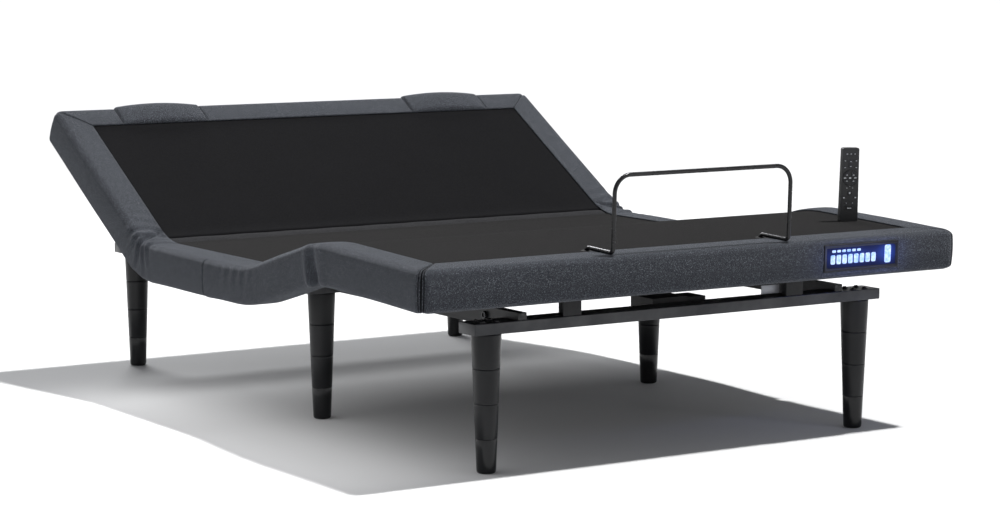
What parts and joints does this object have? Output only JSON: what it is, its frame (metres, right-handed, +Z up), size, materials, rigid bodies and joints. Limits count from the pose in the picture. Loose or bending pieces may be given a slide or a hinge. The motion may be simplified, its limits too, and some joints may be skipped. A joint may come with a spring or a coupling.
{
  "type": "adjustable bed base",
  "caption": "Adjustable bed base: upholstered rails, lifting head and knee sections, steel underframe on tapered legs, mattress retainer bar, glow panel and a handset.",
  "frame": {"origin": "on the floor under the middle of the object's box, in the stored pose", "axes": "+X across the bed to the right as seen from the foot end, +Y from the foot end to the head end, +Z up"},
  "size_m": [1.524, 1.9702, 0.7209],
  "materials": {
    "underframe_steel": "satin powder coat, blue-grey charcoal",
    "section_steel": "satin black powder coat",
    "leg_black": "satin black, smooth",
    "rod_steel": "ground bright steel",
    "rail_fabric": "heathered charcoal blue weave over foam",
    "deck_panel": "panel wrapped in plain black non-slip cloth",
    "black_plastic": "fine matte texture",
    "key_rubber": "matte",
    "wire_steel": "semi-gloss black coat",
    "light_lens": "diffusing, lit blue-white"
  },
  "bodies": {
    "underframe": {"foot_cross_bar": "underframe_steel", "mid_cross_bar": "underframe_steel", "head_cross_bar": "underframe_steel", "left_side_rail": "underframe_steel", "right_side_rail": "underframe_steel", "left_foot_rest": "section_steel", "right_foot_rest": "section_steel", "left_foot_leg": "leg_black", "right_foot_leg": "leg_black", "left_mid_leg": "leg_black", "right_mid_leg": "leg_black", "left_head_leg": "leg_black", "right_head_leg": "leg_black", "control_box": "black_plastic", "seat_front_cross_tube": "section_steel", "seat_rear_cross_tube": "section_steel", "seat_hinge_rod": "rod_steel", "head_hinge_rod": "rod_steel", "seat_deck": "deck_panel", "left_seat_bolster": "rail_fabric", "right_seat_bolster": "rail_fabric"},
    "head_section": {"left_head_channel": "section_steel", "right_head_channel": "section_steel", "head_crossmember": "section_steel", "head_deck": "deck_panel", "left_head_bolster": "rail_fabric", "right_head_bolster": "rail_fabric", "head_end_bolster": "rail_fabric", "head_massage_motor": "black_plastic"},
    "thigh_section": {"left_thigh_channel": "section_steel", "right_thigh_channel": "section_steel", "thigh_crossmember": "section_steel", "thigh_deck": "deck_panel", "left_thigh_bolster": "rail_fabric", "right_thigh_bolster": "rail_fabric", "knee_hinge_rod": "rod_steel"},
    "foot_section": {"left_foot_channel": "section_steel", "right_foot_channel": "section_steel", "foot_crossmember": "section_steel", "foot_deck": "deck_panel", "left_foot_bolster": "rail_fabric", "right_foot_bolster": "rail_fabric", "foot_end_bolster": "rail_fabric", "leg_massage_motor": "black_plastic", "light_panel_housing": "black_plastic", "light_panel_lens": "light_lens"},
    "head_actuator": {"head_actuator": "black_plastic"},
    "head_actuator_rod": {"head_actuator_rod": "rod_steel"},
    "leg_actuator": {"leg_actuator": "black_plastic"},
    "leg_actuator_rod": {"leg_actuator_rod": "rod_steel"},
    "retainer": {"retainer_bar": "wire_steel"},
    "handset": {"remote_body": "black_plastic"},
    "battery_cover": {"battery_cover": "black_plastic"},
    "head_up_key": {"head_up_key": "key_rubber"},
    "leg_up_key": {"leg_up_key": "key_rubber"},
    "head_down_key": {"head_down_key": "key_rubber"},
    "leg_down_key": {"leg_down_key": "key_rubber"},
    "stop_key": {"stop_key": "key_rubber"},
    "flat_key": {"flat_key": "key_rubber"},
    "intensity_rocker": {"intensity_rocker": "key_rubber"}
  },
  "joints": [
    {"name": "head_lift", "type": "hinge", "parent": "underframe", "child": "head_section", "pos_m": [0, 0.41213, 0.3726], "axis": [1, 0, 0], "range_deg": [-30.5, 34.5]},
    {"name": "thigh_lift", "type": "hinge", "parent": "underframe", "child": "thigh_section", "pos_m": [0, -0.17587, 0.3726], "axis": [-1, 0, 0], "range_deg": [-15.6, 20.4]},
    {"name": "knee_fold", "type": "hinge", "parent": "thigh_section", "child": "foot_section", "pos_m": [0, -0.50334, 0.46403], "axis": [1, 0, 0], "range_deg": [-17.61, 23.03]},
    {"name": "head_actuator_swivel", "type": "hinge", "parent": "underframe", "child": "head_actuator", "pos_m": [-0.09, -0.07287, 0.285], "axis": [1, 0, 0], "range_deg": [-0.3, 0.3]},
    {"name": "head_actuator_extend", "type": "slide", "parent": "head_actuator", "child": "head_actuator_rod", "axis": [0, 0.9978, 0.0667], "range_m": [-0.0305, 0.0345]},
    {"name": "leg_actuator_swivel", "type": "hinge", "parent": "underframe", "child": "leg_actuator", "pos_m": [0.09, 0.36713, 0.3], "axis": [1, 0, 0], "range_deg": [-0.1, 0.1]},
    {"name": "leg_actuator_extend", "type": "slide", "parent": "leg_actuator", "child": "leg_actuator_rod", "axis": [0, -0.9999, -0.0101], "range_m": [-0.0216, 0.0282]},
    {"name": "retainer_lift", "type": "slide", "parent": "foot_section", "child": "retainer", "axis": [0, -0.0349, 0.9994], "range_m": [0, 0.06]},
    {"name": "handset_lift", "type": "slide", "parent": "foot_section", "child": "handset", "axis": [0, -0.0349, 0.9994], "range_m": [0, 0.08]},
    {"name": "battery_cover_pull", "type": "slide", "parent": "handset", "child": "battery_cover", "axis": [0.342, 0.9391, 0.0328], "range_m": [0, 0.02]},
    {"name": "head_up_press", "type": "slide", "parent": "handset", "child": "head_up_key", "axis": [0.342, 0.9391, 0.0328], "range_m": [0, 0.0008], "stiffness_N_per_m": 400},
    {"name": "leg_up_press", "type": "slide", "parent": "handset", "child": "leg_up_key", "axis": [0.342, 0.9391, 0.0328], "range_m": [0, 0.0008], "stiffness_N_per_m": 400},
    {"name": "head_down_press", "type": "slide", "parent": "handset", "child": "head_down_key", "axis": [0.342, 0.9391, 0.0328], "range_m": [0, 0.0008], "stiffness_N_per_m": 400},
    {"name": "leg_down_press", "type": "slide", "parent": "handset", "child": "leg_down_key", "axis": [0.342, 0.9391, 0.0328], "range_m": [0, 0.0008], "stiffness_N_per_m": 400},
    {"name": "stop_press", "type": "slide", "parent": "handset", "child": "stop_key", "axis": [0.342, 0.9391, 0.0328], "range_m": [0, 0.0008], "stiffness_N_per_m": 400},
    {"name": "flat_press", "type": "slide", "parent": "handset", "child": "flat_key", "axis": [0.342, 0.9391, 0.0328], "range_m": [0, 0.0008], "stiffness_N_per_m": 400},
    {"name": "intensity_rock", "type": "hinge", "parent": "handset", "child": "intensity_rocker", "pos_m": [0.6324, -0.73744, 0.63056], "axis": [0.9397, -0.3418, -0.0119], "range_deg": [-4, 4], "stiffness_Nm_per_rad": 0.3}
  ],
  "couplings": [
    {"joint": "knee_fold", "follows": "thigh_lift", "ratio": 1.1282},
    {"joint": "head_actuator_swivel", "follows": "head_lift", "ratio": -0.008},
    {"joint": "head_actuator_extend", "follows": "head_lift", "m_per_rad": 0.05705},
    {"joint": "leg_actuator_swivel", "follows": "thigh_lift", "ratio": -0.002},
    {"joint": "leg_actuator_extend", "follows": "thigh_lift", "m_per_rad": 0.07906}
  ]
}
